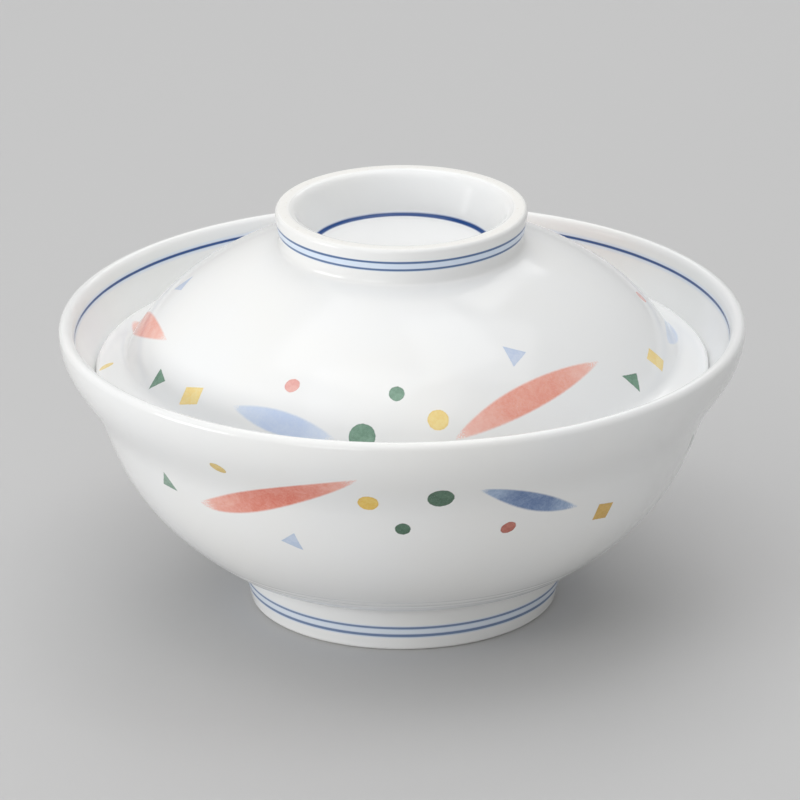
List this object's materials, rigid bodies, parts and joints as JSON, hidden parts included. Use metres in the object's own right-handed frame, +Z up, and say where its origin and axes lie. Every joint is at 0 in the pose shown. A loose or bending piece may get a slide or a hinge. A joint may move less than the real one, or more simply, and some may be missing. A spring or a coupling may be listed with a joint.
{
  "type": "donburi bowl with lid",
  "caption": "Deep round porcelain bowl on a foot ring with a flared rim, and a loose domed lid with a ring that rests inside the rim.",
  "frame": {"origin": "on the table under the middle of the foot ring", "axes": "+Z up along the axis of the bowl and the lid, -Y towards the viewer of the picture, +X to the viewer's right"},
  "size_m": [0.155, 0.155, 0.0936],
  "materials": {
    "bowl_glaze": "gloss",
    "lid_glaze": "gloss"
  },
  "bodies": {
    "bowl": {"bowl": "bowl_glaze"},
    "lid": {"lid": "lid_glaze"}
  },
  "joints": [
    {"name": "lid_lift", "type": "slide", "parent": "bowl", "child": "lid", "axis": [0, 0, 1], "range_m": [0, 0.12]}
  ]
}
